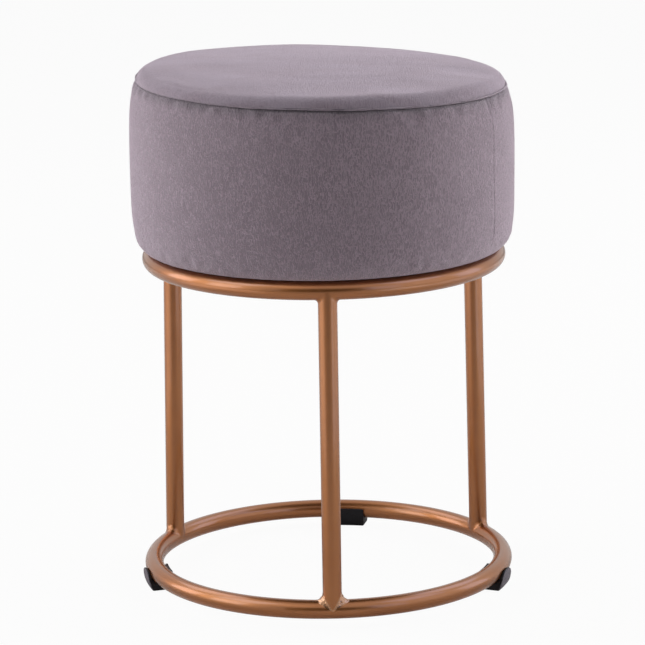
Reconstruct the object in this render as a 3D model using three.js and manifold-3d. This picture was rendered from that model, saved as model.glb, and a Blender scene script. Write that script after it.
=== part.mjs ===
// Round vanity stool: a velvet drum seat on a frame of welded round tube.
// Millimetres, +Z up. The origin is on the floor, on the axis of the rings.

import * as THREE from 'three';
import { mergeVertices } from 'three/addons/utils/BufferGeometryUtils.js';
import Module from 'manifold-3d';

const wasm = await Module();
wasm.setup();

// Clearances
const gap = 0.3; // between two pieces that touch
const overrun = 2; // how far a cutter passes the face that it cuts

// Frame of round tube
const tubeRadius = 8;
const tubeWall = 1.2;
const baseRingRadius = 152.5; // of the tube's centreline
const seatRingRadius = 148;
const ringSpacing = 271.3; // from one centreline up to the other
const footHeight = 6.5; // the base ring's tube clears the floor by this
const ventRadius = 2.5; // holes that let gas out of the rings into the legs
const lowBeadRadius = 3.4; // weld beads in the crotches between the legs and the base ring
const highBeadRadius = 3; // and under the seat ring
const beadThinShare = 0.35; // of those radii, in front of and behind the leg

// Saddle feet
const footLength = 27;
const footWall = 2;
const footSole = 13; // width of the flat that stands on the floor
const wingRise = 2.2; // how far the wings reach above the middle of the tube
const wingStandOff = 0.5; // how far the tips of the wings stand off the tube
const wingCorner = 5;
const soleCorner = 1;
const pegRadius = 2.6;
const pegLength = 4;

// Fixing of the seat to the frame
const fixingInset = 19; // from the inner side of the seat ring's tube to the middle of a screw
const lugThickness = 3;
const lugWidth = 26;
const lugHoleRadius = 3.4;
const screwRadius = 2.8;
const screwSpare = 1.5; // the thread stops this far below the top of the board
const screwTip = 1; // chamfer at the end of the thread
const headRadius = 6;
const headHeight = 3.6;
const headEdge = 1.2; // rounding of the head's rim
const socketRadius = 2.3; // across the corners of the hex socket
const socketDepth = 2;
const washerRadius = 8;
const washerThickness = 1.4;
const nutFlangeRadius = 9.5;
const nutFlangeThickness = 1.3;
const nutBarrelRadius = 4;
const nutBarrelLength = 8.5;

// Board and dust cover
const boardThickness = 12;
const boardEdge = 1.5; // rounding of the board's rims
const sheetInset = 7; // its edge stops this far inside the crest of the seat ring's tube
const sheetThickness = 0.6;
const sheetHoleRadius = 3.8;

// Velvet cushion, with its heights above its flat underside
const velvet = 1.6;
const hemWidth = 19; // of the band, turned in under the board
const footprintInset = 2; // the flat underside stops this far inside the crest of the seat ring's tube
const bellyOverhang = 16.3; // the widest part of the side stands out this far past that crest
const bellyHeight = 48.5;
const seamDraw = 6.9; // the seam is drawn in this far from the widest part
const seamHeight = 141.2;
const seamAllowance = 9; // of the band, turned in under the top panel
const shoulderWidth = 37.4; // over which the top falls to the seam
const shoulderRise = 13.8; // of the shoulder above the seam
const crown = 2.2; // rise of the middle of the top above the shoulder
const bellyPower = 3; // fullness of the curve up to the belly
const drawPower = 7; // how late the side draws in to the seam
const shoulderPower = 1.63; // fullness of the curve down to the seam
const foamSkirt = 4; // the foam laps over the board's rim, down to this far above its underside

// Where the repeated pieces are, in degrees round the stool's axis
const legAngles = { front: -90, right: 27, left: 153 };
const footAngles = { back: 81, left: 192, right: 340 };
const fixingAngles = { back: 90, left: 210, right: 330 };

// Facets
const ringSteps = 60;
const boreSteps = 30;
const tubeSides = 16;
const boreSides = 8;
const holeSides = 12;
const fixingSteps = 20;
const hexSides = 6;
const cushionSteps = 40;
const curveSteps = 5;
const sideSteps = 4;
const crownSteps = 3;
const beadSteps = 14;
const beadSides = 6;
const arcSteps = 5;

// Radii that follow from these, from the stool's axis
const fixingRadius = seatRingRadius - tubeRadius - fixingInset;
const sheetRadius = seatRingRadius - sheetInset;
const footprintRadius = seatRingRadius - footprintInset;
const boardRadius = footprintRadius + boardEdge; // its flat underside ends where the seat's does
const hemRadius = footprintRadius - hemWidth;
const bellyRadius = seatRingRadius + bellyOverhang;
const seamRadius = bellyRadius - seamDraw;
const shoulderRadius = seamRadius - shoulderWidth;

// Heights that follow from them
const shoulderHeight = seamHeight + shoulderRise;
const baseRingHeight = footHeight + tubeRadius;
const seatRingHeight = baseRingHeight + ringSpacing;
const seatHeight = seatRingHeight + tubeRadius + gap;
const boardBottom = velvet + gap; // this and the next are above the underside of the seat
const boardTop = boardBottom + boardThickness;
const nutSeat = boardTop - nutFlangeThickness;
const lugTop = seatHeight - gap - sheetThickness - gap;
const lugBottom = lugTop - lugThickness;
const washerBottom = lugBottom - washerThickness;
const screwLength = seatHeight + boardTop - screwSpare - washerBottom;

// Finishes
const copperFinish = new THREE.MeshStandardMaterial({ color: 0xa56c40, metalness: 0.9, roughness: 0.35 });
const zincPlate = new THREE.MeshStandardMaterial({ color: 0xb9bcc0, metalness: 1, roughness: 0.35 });
const mauveVelvet = new THREE.MeshStandardMaterial({ color: 0x83747f, metalness: 0, roughness: 0.95 });
const blackPlastic = new THREE.MeshStandardMaterial({ color: 0x1c1b1e, metalness: 0, roughness: 0.5 });
const blackFleece = new THREE.MeshStandardMaterial({ color: 0x18181a, metalness: 0, roughness: 0.95 });
const birchPly = new THREE.MeshStandardMaterial({ color: 0xc9a574, metalness: 0, roughness: 0.8 });
const yellowFoam = new THREE.MeshStandardMaterial({ color: 0xe9dfb8, metalness: 0, roughness: 0.95 });

const radians = THREE.MathUtils.degToRad;
const upright = new THREE.Matrix4().makeRotationX(Math.PI / 2); // stands a shape's own Y up along Z

// Turns a closed geometry into a solid for joining and cutting.
function solidOf(geometry, matrix = new THREE.Matrix4()) {
  const bare = geometry.clone();
  bare.deleteAttribute('normal');
  bare.deleteAttribute('uv');
  bare.applyMatrix4(matrix);
  const merged = mergeVertices(bare);
  const corners = merged.index.array;
  const triangles = [];
  for (let i = 0; i < corners.length; i += 3) {
    const [a, b, c] = corners.slice(i, i + 3);
    if (a !== b && b !== c && c !== a) triangles.push(a, b, c);
  }
  return new wasm.Manifold(new wasm.Mesh({
    numProp: 3,
    vertProperties: new Float32Array(merged.attributes.position.array),
    triVerts: new Uint32Array(triangles),
  }));
}

// Turns a solid back into a geometry.
function geometryOf(solid) {
  const mesh = solid.getMesh();
  const geometry = new THREE.BufferGeometry();
  geometry.setAttribute('position', new THREE.BufferAttribute(new Float32Array(mesh.vertProperties), 3));
  geometry.setIndex(new THREE.BufferAttribute(new Uint32Array(mesh.triVerts), 1));
  geometry.computeVertexNormals();
  return geometry;
}

// A turned shape about Z, from [radius, height] points that go up its outside.
function turned(points, steps, height = 0) {
  const outline = points.map(([radius, rise]) => new THREE.Vector2(radius, rise + height));
  return solidOf(new THREE.LatheGeometry(outline, steps), upright);
}

function disc(radius, bottom, top, steps) {
  return turned([[0, bottom], [radius, bottom], [radius, top], [0, top]], steps);
}

// A straight round bar from one point to another.
function bar(radius, from, to, sides) {
  const reach = new THREE.Vector3().subVectors(to, from);
  const length = reach.length();
  const turn = new THREE.Quaternion().setFromUnitVectors(new THREE.Vector3(0, 1, 0), reach.normalize());
  const matrix = new THREE.Matrix4().makeRotationFromQuaternion(turn);
  matrix.setPosition(new THREE.Vector3().lerpVectors(from, to, 1 / 2));
  return solidOf(new THREE.CylinderGeometry(radius, radius, length, sides), matrix);
}

// An upright bar, at a distance from the stool's axis along +X.
function post(radius, distance, bottom, top, sides) {
  return bar(radius, new THREE.Vector3(distance, 0, bottom), new THREE.Vector3(distance, 0, top), sides);
}

// A round bar bent to a full ring about the stool's axis.
function hoop(ringRadius, barRadius, height, steps, sides) {
  const section = [];
  for (let i = 0; i <= sides; i += 1) {
    const turn = (2 * Math.PI * (i % sides)) / sides;
    section.push([ringRadius + barRadius * Math.cos(turn), barRadius * Math.sin(turn)]);
  }
  return turned(section, steps, height);
}

// Cuts the same shape out of a solid at every angle.
function cutAround(solid, cutter, angles) {
  return Object.values(angles).reduce((rest, angle) => rest.subtract(cutter.rotate([0, 0, angle])), solid);
}

// Adds a piece that was modelled on the +X side, turned round to its angle.
function place(group, name, solid, material, { angle = 0, height = 0 } = {}) {
  const piece = new THREE.Mesh(geometryOf(solid), material);
  piece.name = name;
  piece.rotation.z = radians(angle);
  piece.position.z = height;
  group.add(piece);
}

// Frame: a leg runs between the centrelines of the two rings, so it leans by their difference in radius
const legFoot = new THREE.Vector3(baseRingRadius, 0, baseRingHeight);
const legHead = new THREE.Vector3(seatRingRadius, 0, seatRingHeight);
const baseCope = hoop(baseRingRadius, tubeRadius + gap, baseRingHeight, ringSteps, tubeSides);
const seatCope = hoop(seatRingRadius, tubeRadius + gap, seatRingHeight, ringSteps, tubeSides);

function tubeRing(ringRadius, height) {
  const skin = hoop(ringRadius, tubeRadius, height, ringSteps, tubeSides);
  return skin.subtract(hoop(ringRadius, tubeRadius - tubeWall, height, boreSteps, boreSides));
}

function seatRing() {
  const vent = post(ventRadius, seatRingRadius, seatRingHeight - tubeRadius - overrun, seatRingHeight, holeSides);
  return cutAround(tubeRing(seatRingRadius, seatRingHeight), vent, legAngles);
}

function baseRing() {
  const vent = post(ventRadius, baseRingRadius, baseRingHeight, baseRingHeight + tubeRadius + overrun, holeSides);
  const pegHole = post(pegRadius + gap, baseRingRadius, footHeight - overrun, baseRingHeight, holeSides);
  const vented = cutAround(tubeRing(baseRingRadius, baseRingHeight), vent, legAngles);
  return cutAround(vented, pegHole, footAngles);
}

function leg() {
  const bore = bar(tubeRadius - tubeWall, legFoot, legHead, boreSides);
  return bar(tubeRadius, legFoot, legHead, tubeSides).subtract(bore).subtract(baseCope).subtract(seatCope);
}

// The line where a leg meets a ring: round the leg, and saddle-shaped over the ring's tube.
class JointLine extends THREE.Curve {
  constructor(centre, side) {
    super();
    this.centre = centre;
    this.side = side; // 1 on top of a ring, -1 under it
  }

  getPoint(share, target = new THREE.Vector3()) {
    const turn = 2 * Math.PI * share;
    const across = tubeRadius * Math.cos(turn);
    const along = tubeRadius * Math.sin(turn);
    return target.set(across, along, this.side * Math.abs(along)).add(this.centre);
  }
}

// A bead of weld on that line, full in the crotches and thin where the two tubes run flush.
function weldBead(centre, side, beadRadius, cope) {
  const line = new JointLine(centre, side);
  const rope = new THREE.TubeGeometry(line, beadSteps, beadRadius, beadSides, true);
  const points = rope.attributes.position;
  for (let i = 0; i < points.count; i += 1) {
    const step = Math.floor(i / (beadSides + 1)) % beadSteps;
    const middle = line.getPointAt(step / beadSteps);
    const fullness = beadThinShare + (1 - beadThinShare) * Math.abs(middle.y / tubeRadius);
    const point = new THREE.Vector3().fromBufferAttribute(points, i);
    points.setXYZ(i, ...middle.lerp(point, fullness));
  }
  return solidOf(rope).subtract(cope).subtract(bar(tubeRadius + gap, legFoot, legHead, tubeSides));
}

// Feet: a saddle that follows the base ring, with a peg up into the tube.
function foot() {
  const bore = tubeRadius + gap;
  const tip = baseRingHeight + wingRise;
  const outside = bore + wingStandOff + footWall;
  const half = new THREE.Path();
  half.moveTo(footSole / 2, 0);
  half.bezierCurveTo(outside - footWall, footHeight / 2, outside, footHeight, outside, tip);
  half.lineTo(outside - footWall, tip);
  half.lineTo(bore, baseRingHeight);
  half.absarc(0, baseRingHeight, bore, 0, -Math.PI / 2, true);
  const right = half.getPoints(arcSteps);
  const left = right.slice(0, -1).reverse();
  const section = [...right.map((p) => [p.x, p.y]), ...left.map((p) => [-p.x, p.y])];
  section.push(section[0]);
  const saddle = turned(section.map(([x, z]) => [baseRingRadius + x, z]), ringSteps);

  const side = new THREE.Shape();
  const halfLength = footLength / 2;
  side.moveTo(soleCorner - halfLength, 0);
  side.absarc(halfLength - soleCorner, soleCorner, soleCorner, -Math.PI / 2, 0);
  side.absarc(halfLength - wingCorner, tip - wingCorner, wingCorner, 0, Math.PI / 2);
  side.absarc(wingCorner - halfLength, tip - wingCorner, wingCorner, Math.PI / 2, Math.PI);
  side.absarc(soleCorner - halfLength, soleCorner, soleCorner, Math.PI, (3 * Math.PI) / 2);
  const depth = 2 * (outside + overrun);
  const block = new THREE.ExtrudeGeometry(side, { depth, bevelEnabled: false, curveSegments: arcSteps });
  const matrix = new THREE.Matrix4().makeBasis(
    new THREE.Vector3(0, 1, 0),
    new THREE.Vector3(0, 0, 1),
    new THREE.Vector3(1, 0, 0),
  );
  matrix.setPosition(baseRingRadius - depth / 2, 0, 0);
  const peg = post(pegRadius, baseRingRadius, footHeight / 2, footHeight + pegLength, holeSides);
  return saddle.intersect(solidOf(block, matrix)).add(peg);
}

// Lug: a plate welded inside the seat ring, round at its tip about the screw.
function lug() {
  const outline = new THREE.Shape();
  outline.moveTo(seatRingRadius, -lugWidth / 2);
  outline.lineTo(seatRingRadius, lugWidth / 2);
  outline.absarc(fixingRadius, 0, lugWidth / 2, Math.PI / 2, (3 * Math.PI) / 2);
  const plate = new THREE.ExtrudeGeometry(outline, { depth: lugThickness, bevelEnabled: false, curveSegments: holeSides });
  const hole = post(lugHoleRadius, fixingRadius, lugBottom - overrun, lugTop + overrun, holeSides);
  return solidOf(plate, new THREE.Matrix4().makeTranslation(0, 0, lugBottom)).subtract(hole).subtract(seatCope);
}

// Screw, with its origin under its head: the head hangs down and the thread goes up.
function screw() {
  const pin = turned([
    [0, -headHeight],
    [headRadius - headEdge, -headHeight],
    [headRadius, headEdge - headHeight],
    [headRadius, 0],
    [screwRadius, 0],
    [screwRadius, screwLength - screwTip],
    [screwRadius - screwTip, screwLength],
    [0, screwLength],
  ], fixingSteps);
  const socket = disc(socketRadius, -headHeight - overrun, socketDepth - headHeight, hexSides);
  return pin.subtract(socket).translate([fixingRadius, 0, 0]);
}

function washer() {
  const ring = disc(washerRadius, 0, washerThickness, fixingSteps);
  const hole = disc(screwRadius + gap, -overrun, washerThickness + overrun, holeSides);
  return ring.subtract(hole).translate([fixingRadius, 0, 0]);
}

// Flanged nut, with its origin at the underside of its flange: the barrel hangs down into the board.
function flangedNut() {
  const flange = disc(nutFlangeRadius, 0, nutFlangeThickness, fixingSteps);
  const barrel = disc(nutBarrelRadius, -nutBarrelLength, nutFlangeThickness / 2, fixingSteps);
  const bore = disc(screwRadius + gap, -nutBarrelLength - overrun, nutFlangeThickness + overrun, holeSides);
  return flange.add(barrel).subtract(bore).translate([fixingRadius, 0, 0]);
}

// Board: rounded rims, and at each screw a through hole with a pocket for the nut's flange.
function seatBoard() {
  const inner = boardRadius - boardEdge;
  const blank = turned([
    [0, boardBottom],
    [inner, boardBottom],
    [boardRadius, boardBottom + boardEdge],
    [boardRadius, boardTop - boardEdge],
    [inner, boardTop],
    [0, boardTop],
  ], cushionSteps);
  const pocket = post(nutFlangeRadius + gap, fixingRadius, nutSeat, boardTop + overrun, fixingSteps);
  const hole = post(nutBarrelRadius + gap, fixingRadius, boardBottom - overrun, nutSeat + overrun, fixingSteps);
  return cutAround(blank, pocket.add(hole), fixingAngles);
}

function dustCover() {
  const sheet = disc(sheetRadius, -gap - sheetThickness, -gap, cushionSteps);
  const hole = post(sheetHoleRadius, fixingRadius, -gap - sheetThickness - overrun, overrun, holeSides);
  return cutAround(sheet, hole, fixingAngles);
}

// The outside of the cushion's band, set in by a margin: flat underside, belly, and the side drawn in to the seam.
function bandLine(margin) {
  const line = [];
  const belly = bellyRadius - margin;
  const seam = seamRadius - margin;
  for (let i = 0; i <= curveSteps; i += 1) {
    const turn = (Math.PI / 2) * (i / curveSteps);
    const swell = Math.sin(turn) ** (2 / bellyPower);
    const rise = 1 - Math.cos(turn) ** (2 / bellyPower);
    line.push([footprintRadius + (belly - footprintRadius) * swell, margin + (bellyHeight - margin) * rise]);
  }
  for (let i = 1; i <= sideSteps; i += 1) {
    const share = Math.sin((Math.PI / 2) * (i / sideSteps));
    const height = bellyHeight + (seamHeight - margin - bellyHeight) * share;
    line.push([belly - (belly - seam) * share ** drawPower, height]);
  }
  return line;
}

// The outside of the top panel, set in by a margin, from the seam up to the axis.
function topLine(margin, seam, bottom) {
  const line = [];
  const top = shoulderHeight - margin;
  for (let i = 0; i <= curveSteps; i += 1) {
    const turn = (Math.PI / 2) * (i / curveSteps);
    const reach = Math.cos(turn) ** (2 / shoulderPower);
    const rise = Math.sin(turn) ** (2 / shoulderPower);
    line.push([shoulderRadius + (seam - shoulderRadius) * reach, bottom + (top - bottom) * rise]);
  }
  for (let i = crownSteps - 1; i >= 0; i -= 1) {
    const share = i / crownSteps;
    line.push([shoulderRadius * share, top + crown * (1 - share ** 2)]);
  }
  return line;
}

// Band: one strip of velvet, turned in under the board and under the top panel.
function sideBand() {
  const outside = bandLine(0);
  const inside = bandLine(velvet).reverse();
  const lip = seamRadius - seamAllowance;
  const section = [
    [hemRadius, 0],
    ...outside,
    [lip, seamHeight],
    [lip, seamHeight - velvet],
    ...inside,
    [hemRadius, velvet],
    [hemRadius, 0],
  ];
  return turned(section, cushionSteps);
}

function topPanel() {
  const bottom = seamHeight + gap;
  const outside = topLine(0, seamRadius, bottom);
  const inside = topLine(velvet, seamRadius - velvet, bottom).reverse();
  return turned([...inside, ...outside], cushionSteps);
}

// Foam: fills the covers, and laps over the rim of the board.
function foamCore() {
  const margin = velvet + gap;
  const rim = boardRadius + gap;
  const low = boardBottom + foamSkirt;
  const side = bandLine(margin).filter(([, height]) => height > low);
  const shoulder = seamRadius - seamAllowance - gap;
  return turned([
    [0, boardTop + gap],
    [rim, boardTop + gap],
    [rim, low],
    ...side,
    ...topLine(margin, shoulder, seamHeight - margin),
  ], cushionSteps);
}

const stool = new THREE.Group();
const frame = new THREE.Group();
const feet = new THREE.Group();
const fixings = new THREE.Group();
const seat = new THREE.Group();
seat.position.z = seatHeight;
stool.add(frame, feet, fixings, seat);

place(frame, 'bottom_ring', baseRing(), copperFinish);
place(frame, 'top_ring', seatRing(), copperFinish);
for (const [side, angle] of Object.entries(legAngles)) {
  place(frame, `leg_${side}`, leg(), copperFinish, { angle });
  place(frame, `weld_bottom_${side}`, weldBead(legFoot, 1, lowBeadRadius, baseCope), copperFinish, { angle });
  place(frame, `weld_top_${side}`, weldBead(legHead, -1, highBeadRadius, seatCope), copperFinish, { angle });
}
for (const [side, angle] of Object.entries(footAngles)) {
  place(feet, `foot_${side}`, foot(), blackPlastic, { angle });
}
for (const [side, angle] of Object.entries(fixingAngles)) {
  place(fixings, `lug_${side}`, lug(), copperFinish, { angle });
  place(fixings, `washer_${side}`, washer(), zincPlate, { angle, height: washerBottom });
  place(fixings, `screw_${side}`, screw(), zincPlate, { angle, height: washerBottom });
  place(fixings, `t_nut_${side}`, flangedNut(), zincPlate, { angle, height: seatHeight + nutSeat });
}
place(seat, 'dust_cover', dustCover(), blackFleece);
place(seat, 'seat_board', seatBoard(), birchPly);
place(seat, 'foam_core', foamCore(), yellowFoam);
place(seat, 'side_band', sideBand(), mauveVelvet);
place(seat, 'top_panel', topPanel(), mauveVelvet);

export default stool;
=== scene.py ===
import math

import bpy
import numpy as np
from mathutils import Matrix, Vector, noise


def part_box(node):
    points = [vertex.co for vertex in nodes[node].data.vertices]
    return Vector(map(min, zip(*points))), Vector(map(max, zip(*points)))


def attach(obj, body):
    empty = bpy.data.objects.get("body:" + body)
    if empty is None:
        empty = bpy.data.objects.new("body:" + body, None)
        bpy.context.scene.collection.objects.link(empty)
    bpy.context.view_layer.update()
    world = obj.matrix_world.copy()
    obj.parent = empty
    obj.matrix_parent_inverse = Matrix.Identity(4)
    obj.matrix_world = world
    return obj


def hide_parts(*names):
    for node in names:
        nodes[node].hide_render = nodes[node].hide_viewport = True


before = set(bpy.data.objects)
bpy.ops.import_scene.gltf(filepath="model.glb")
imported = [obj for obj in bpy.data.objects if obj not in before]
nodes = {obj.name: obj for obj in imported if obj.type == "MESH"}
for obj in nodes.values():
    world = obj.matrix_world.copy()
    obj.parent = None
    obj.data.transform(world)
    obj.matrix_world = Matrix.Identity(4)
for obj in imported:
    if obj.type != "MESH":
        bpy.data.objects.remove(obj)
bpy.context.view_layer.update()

mm = 0.001
fullTurn = 2 * math.pi
scene = bpy.context.scene
scene.view_settings.view_transform = "Standard"
print("stool: frame loaded,", len(nodes), "pieces")


# Sizes read from the frame

def ringSizes(node):  # radius of the tube, radius of the ring and height, all of the centreline
    low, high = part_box(node)
    thick = (high.z - low.z) / 2
    return thick, high.x - thick, (high.z + low.z) / 2


def angleOf(node):  # round the stool's axis, in radians
    low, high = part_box(node)
    return math.atan2(low.y + high.y, low.x + high.x)


tubeRadius, baseRadius, baseHeight = ringSizes("bottom_ring")
_, seatRadius, seatRingHeight = ringSizes("top_ring")
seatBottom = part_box("side_band")[0].z
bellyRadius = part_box("side_band")[1].x
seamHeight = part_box("side_band")[1].z - seatBottom
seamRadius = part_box("top_panel")[1].x
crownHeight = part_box("top_panel")[1].z - seatBottom


# Meshes

def addObject(name, points, faces, material, uv=None, uvTurn=None):
    mesh = bpy.data.meshes.new(name)
    mesh.from_pydata([tuple(p) for p in points], [], [tuple(int(i) for i in f) for f in faces])
    mesh.update()
    mesh.polygons.foreach_set("use_smooth", [True] * len(mesh.polygons))
    if uv is not None:  # one pair in metres for each point
        corners = np.zeros(len(mesh.loops), np.int32)
        mesh.loops.foreach_get("vertex_index", corners)
        pairs = np.asarray(uv, float)[corners]
        if uvTurn:  # faces that close the turn carry on past its end
            sizes = np.zeros(len(mesh.polygons), np.int32)
            mesh.polygons.foreach_get("loop_total", sizes)
            owner = np.repeat(np.arange(len(sizes)), sizes)
            largest = np.zeros(len(sizes))
            np.maximum.at(largest, owner, pairs[:, 0])
            pairs[pairs[:, 0] < largest[owner] - uvTurn / 2, 0] += uvTurn
        mesh.uv_layers.new(name="metres").data.foreach_set("uv", pairs.astype(np.float32).ravel())
    piece = bpy.data.objects.new(name, mesh)
    scene.collection.objects.link(piece)
    mesh.materials.append(material)
    return piece


def dress(piece, slotName, *replaced):  # rides on the stool and stands for its CAD node
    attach(piece, "root")
    if replaced:
        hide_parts(*replaced)


def gridFaces(rows, columns, closedRows=False, first=0):  # between rows of points that each run round
    faces = []
    for i in range(rows if closedRows else rows - 1):
        for j in range(columns):
            a = first + i * columns + j
            b = first + i * columns + (j + 1) % columns
            c = first + (i + 1) % rows * columns + (j + 1) % columns
            d = first + (i + 1) % rows * columns + j
            faces.append((a, b, c, d))
    return faces


def closeRow(points, faces, row, columns, centre, below):  # a fan of faces from a row of points to a new one amid it
    middle = len(points)
    points.append(centre)
    for j in range(columns):
        pair = (row * columns + j, row * columns + (j + 1) % columns)
        faces.append((middle, *(pair[::-1] if below else pair)))


def sharpened(piece, degrees):  # edges that turn by more than this stay crisp
    piece.data.set_sharp_from_angle(angle=math.radians(degrees))
    return piece


def turnedTo(points, angle):
    turn = Matrix.Rotation(angle, 3, "Z")
    return [turn @ Vector(p) for p in points]


def applied(piece):  # the mesh takes on what its modifiers make of it
    depsgraph = bpy.context.evaluated_depsgraph_get()
    made = bpy.data.meshes.new_from_object(piece.evaluated_get(depsgraph))
    piece.modifiers.clear()
    piece.data = made


def smoothStep(value, low, high):
    share = np.clip((value - low) / (high - low), 0, 1)
    return share * share * (3 - 2 * share)


# Materials. A pattern's size is a real one, in millimetres, with Mm in its name. Depths of bumps are in millimetres too

def hexColour(code):  # sRGB to linear
    parts = [int(code[i:i + 2], 16) / 255 for i in (1, 3, 5)]
    return (*[c / 12.92 if c <= 0.04045 else ((c + 0.055) / 1.055) ** 2.4 for c in parts], 1.0)


def addNode(tree, kind, settings=None, links=None):
    node = tree.nodes.new("ShaderNode" + kind)
    for key, value in (settings or {}).items():
        if isinstance(key, int) or key in node.inputs:
            node.inputs[key].default_value = value
        else:
            setattr(node, key, value)
    for key, source in (links or {}).items():
        tree.links.new(source, node.inputs[key])
    return node


def newMaterial(name):
    material = bpy.data.materials.new(name)
    material.use_nodes = True
    material.node_tree.nodes.clear()
    return material, material.node_tree


copperLook = {
    "copper": "#c37f4b", "shadow": "#ad6b3c", "cloudMm": 45, "roughness": 0.36, "handling": 0.05, "handlingMm": 5,
    "coat": 1.0, "coatRoughness": 0.13, "peelMm": 1.4, "peelDepth": 0.012,
}
beadLook = {**copperLook, "copper": "#d9a67c", "roughness": 0.24, "peelMm": 1.3, "peelDepth": 0.22}  # left as welded


def lacqueredCopper(name, look):  # steel, copper plated and clear lacquered: a satin metal with a slight orange peel
    material, tree = newMaterial(name)
    place = addNode(tree, "TexCoord").outputs["Object"]
    cloud = addNode(tree, "TexNoise", {"Scale": 1 / (look["cloudMm"] * mm), "Detail": 3.0}, {"Vector": place})
    peel = addNode(tree, "TexNoise", {"Scale": 1 / (look["peelMm"] * mm), "Detail": 2.0}, {"Vector": place})
    handling = addNode(tree, "TexNoise", {
        "Scale": 1 / (look["handlingMm"] * mm), "Detail": 4.0, "Roughness": 0.65,
    }, {"Vector": place})
    tone = addNode(tree, "Mix", {
        "data_type": "RGBA", 6: hexColour(look["shadow"]), 7: hexColour(look["copper"]),
    }, {0: cloud.outputs["Fac"]}).outputs[2]
    rough = addNode(tree, "MapRange", {
        "To Min": look["roughness"] - look["handling"], "To Max": look["roughness"] + look["handling"],
    }, {"Value": handling.outputs["Fac"]}).outputs["Result"]
    bump = addNode(tree, "Bump", {"Distance": look["peelDepth"] * mm, "Strength": 1.0}, {
        "Height": peel.outputs["Fac"],
    })
    shader = addNode(tree, "BsdfPrincipled", {
        "Metallic": 1.0, "Coat Weight": look["coat"], "Coat Roughness": look["coatRoughness"],
    }, {"Base Color": tone, "Roughness": rough, "Normal": bump.outputs["Normal"]})
    addNode(tree, "OutputMaterial", links={"Surface": shader.outputs[0]})
    return material


zincLook = {"zinc": "#c4c6c8", "dull": "#9fa2a6", "cloudMm": 4, "roughness": 0.34, "handling": 0.1}


def zincPlate():  # electroplated steel: bright, slightly clouded by handling
    look = zincLook
    material, tree = newMaterial("zinc_plate")
    place = addNode(tree, "TexCoord").outputs["Object"]
    cloud = addNode(tree, "TexNoise", {
        "Scale": 1 / (look["cloudMm"] * mm), "Detail": 4.0, "Roughness": 0.6,
    }, {"Vector": place}).outputs["Fac"]
    tone = addNode(tree, "Mix", {
        "data_type": "RGBA", 6: hexColour(look["dull"]), 7: hexColour(look["zinc"]),
    }, {0: cloud}).outputs[2]
    rough = addNode(tree, "MapRange", {
        "To Min": look["roughness"] - look["handling"], "To Max": look["roughness"] + look["handling"],
    }, {"Value": cloud}).outputs["Result"]
    shader = addNode(tree, "BsdfPrincipled", {"Metallic": 1.0}, {"Base Color": tone, "Roughness": rough})
    addNode(tree, "OutputMaterial", links={"Surface": shader.outputs[0]})
    return material


plasticLook = {
    # the two greys after black and handled are the painted sheen of the outward faces
    "black": "#121013", "handled": "#222024", "sheenGrey": "#5a545b", "sheenPale": "#777078", "wearMm": 9,
    "sheenFrom": 0.25, "sheenTo": 0.5, "roughness": (0.4, 0.53), "ior": 1.53, "specular": 0.25,
    "grainMm": 0.7, "grainDepth": 0.04,  # real spark grain is about 0.1 mm: drawn as coarse as it needs to show
}


def mouldedPlastic():  # injection moulded, with the fine spark grain of its mould, and a painted grey sheen on its outward faces
    look = plasticLook
    material, tree = newMaterial("moulded_black_plastic")
    place = addNode(tree, "TexCoord").outputs["Object"]
    grain = addNode(tree, "TexNoise", {"Scale": 1 / (look["grainMm"] * mm), "Detail": 2.0}, {"Vector": place})
    wear = addNode(tree, "TexNoise", {
        "Scale": 1 / (look["wearMm"] * mm), "Detail": 4.0, "Roughness": 0.6,
    }, {"Vector": place}).outputs["Fac"]
    clean = addNode(tree, "Mix", {
        "data_type": "RGBA", 6: hexColour(look["black"]), 7: hexColour(look["handled"]),
    }, {0: wear}).outputs[2]
    # painted sheen: faces turned outward from the axis are drawn a mottled lighter grey
    paintedSheen = addNode(tree, "Mix", {
        "data_type": "RGBA", 6: hexColour(look["sheenGrey"]), 7: hexColour(look["sheenPale"]),
    }, {0: wear}).outputs[2]
    level = addNode(tree, "VectorMath", {"operation": "MULTIPLY", 1: (1, 1, 0)}, {0: place}).outputs[0]
    outward = addNode(tree, "VectorMath", {"operation": "NORMALIZE"}, {0: level}).outputs[0]
    facing = addNode(tree, "VectorMath", {"operation": "DOT_PRODUCT"}, {
        0: outward, 1: addNode(tree, "NewGeometry").outputs["Normal"],
    }).outputs["Value"]
    outside = addNode(tree, "MapRange", {
        "From Min": look["sheenFrom"], "From Max": look["sheenTo"],
    }, {"Value": facing}).outputs["Result"]
    tone = addNode(tree, "Mix", {"data_type": "RGBA"}, {0: outside, 6: clean, 7: paintedSheen}).outputs[2]
    smooth, scratched = look["roughness"]
    rough = addNode(tree, "MapRange", {"To Min": smooth, "To Max": scratched}, {"Value": wear}).outputs["Result"]
    bump = addNode(tree, "Bump", {"Distance": look["grainDepth"] * mm, "Strength": 1.0}, {
        "Height": grain.outputs["Fac"],
    })
    shader = addNode(tree, "BsdfPrincipled", {"IOR": look["ior"], "Specular IOR Level": look["specular"]}, {
        "Base Color": tone, "Roughness": rough, "Normal": bump.outputs["Normal"],
    })
    addNode(tree, "OutputMaterial", links={"Surface": shader.outputs[0]})
    return material


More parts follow.
